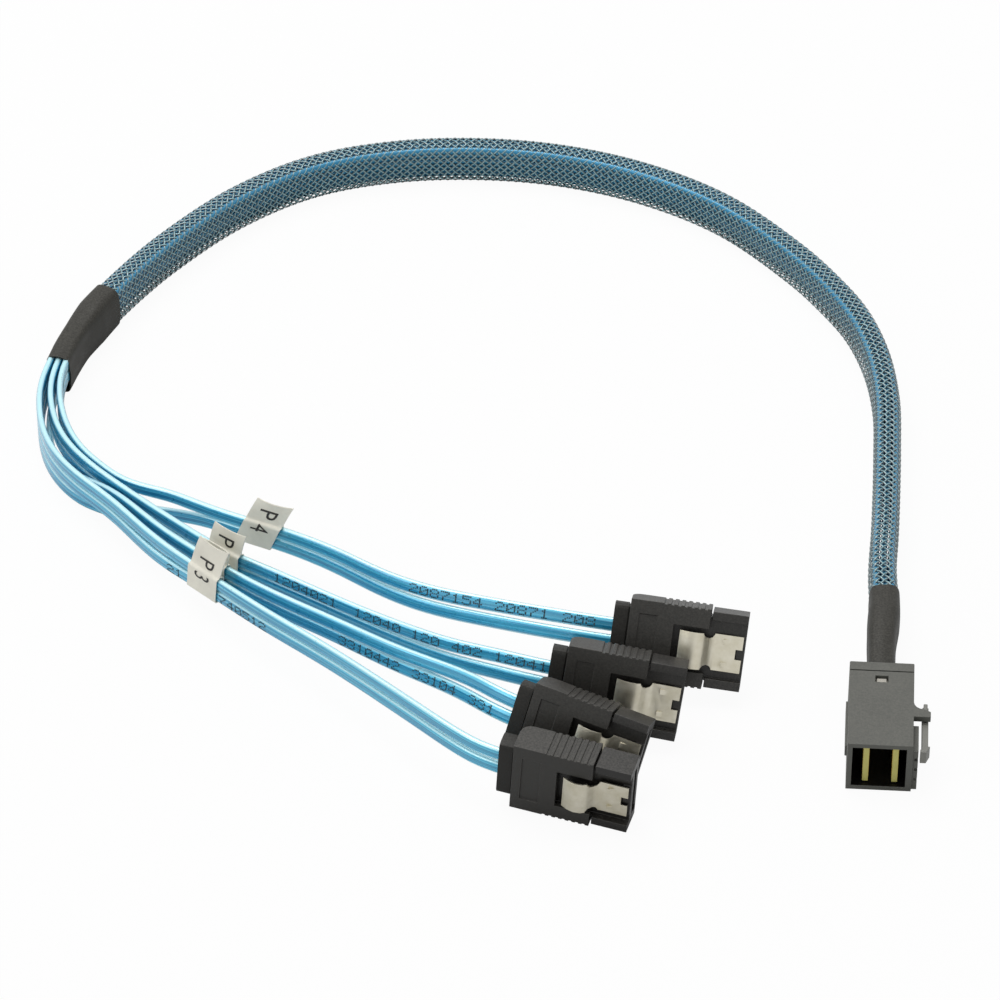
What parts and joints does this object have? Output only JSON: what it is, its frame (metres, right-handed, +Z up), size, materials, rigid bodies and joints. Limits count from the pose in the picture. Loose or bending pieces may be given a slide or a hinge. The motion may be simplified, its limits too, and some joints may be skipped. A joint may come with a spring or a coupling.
{
  "type": "breakout cable",
  "caption": "Drive breakout cable: one high-density internal plug, a braided sleeve over flat twin-axial ribbons, and a fan of latching seven-contact drive plugs.",
  "frame": {"origin": "Middle of the plugs, labels and heat-shrink tubes, seen from above, on the table the cable lies on.", "axes": "+Z up from the table; +X to the side of the large plug; +Y towards the sleeved arc at the back."},
  "size_m": [0.1617, 0.1924, 0.0185],
  "materials": {
    "plug_black": "moulded, lightly textured",
    "housing_black": "moulded, smooth",
    "boot_black": "soft moulded, satin",
    "latch_steel": "stamped spring steel",
    "hd_grey": "moulded, fine grain",
    "hd_latch_grey": "moulded, satin",
    "board": "coated circuit board with gold contacts",
    "wire_block": "overmoulded, matt",
    "shrink": "matt shrink tube",
    "sleeve": "open braid of dark filament over blue wires",
    "ribbon": "clear film over foil-wrapped wire pairs",
    "label": "matt"
  },
  "bodies": {
    "cable": {"hd_shell": "hd_grey", "hd_rear_cap": "hd_grey", "hd_wire_block": "wire_block", "hd_board_left": "board", "hd_board_right": "board", "plug_heat_shrink": "shrink", "breakout_heat_shrink": "shrink", "braided_sleeve": "sleeve", "ribbon_p1_upper": "ribbon", "ribbon_p1_lower": "ribbon", "ribbon_p2_upper": "ribbon", "ribbon_p2_lower": "ribbon", "ribbon_p3_upper": "ribbon", "ribbon_p3_lower": "ribbon", "ribbon_p4_upper": "ribbon", "ribbon_p4_lower": "ribbon", "label_p1": "label", "label_p2": "label", "label_p3": "label", "label_p4": "label", "sata_hood_p1": "plug_black", "sata_housing_p1": "housing_black", "sata_boot_p1": "boot_black", "sata_hood_p2": "plug_black", "sata_housing_p2": "housing_black", "sata_boot_p2": "boot_black", "sata_hood_p3": "plug_black", "sata_housing_p3": "housing_black", "sata_boot_p3": "boot_black", "sata_hood_p4": "plug_black", "sata_housing_p4": "housing_black", "sata_boot_p4": "boot_black"},
    "hd_latch": {"hd_latch": "hd_latch_grey"},
    "latch_p1": {"sata_latch_p1": "latch_steel"},
    "latch_p2": {"sata_latch_p2": "latch_steel"},
    "latch_p3": {"sata_latch_p3": "latch_steel"},
    "latch_p4": {"sata_latch_p4": "latch_steel"}
  },
  "joints": [
    {"name": "latch_p1_flex", "type": "hinge", "parent": "cable", "child": "latch_p1", "pos_m": [0.03639, -0.04759, 0.00818], "axis": [-0.1573, -0.3767, -0.9129], "range_deg": [0, 4], "stiffness_Nm_per_rad": 0.5},
    {"name": "latch_p2_flex", "type": "hinge", "parent": "cable", "child": "latch_p2", "pos_m": [0.02867, -0.06218, 0.00826], "axis": [-0.2838, -0.3757, -0.8822], "range_deg": [0, 4], "stiffness_Nm_per_rad": 0.5},
    {"name": "latch_p3_flex", "type": "hinge", "parent": "cable", "child": "latch_p3", "pos_m": [0.02713, -0.07077, 0.00684], "axis": [-0.0544, 0.0128, -0.9984], "range_deg": [0, 4], "stiffness_Nm_per_rad": 0.5},
    {"name": "latch_p4_flex", "type": "hinge", "parent": "cable", "child": "latch_p4", "pos_m": [0.04789, -0.03462, 0.00835], "axis": [-0.1307, -0.5094, -0.8506], "range_deg": [0, 4], "stiffness_Nm_per_rad": 0.5},
    {"name": "hd_latch_flex", "type": "hinge", "parent": "cable", "child": "hd_latch", "pos_m": [0.07892, -0.06027, 0.0078], "axis": [0, 0, 1], "range_deg": [0, 2.4], "stiffness_Nm_per_rad": 0.5}
  ]
}
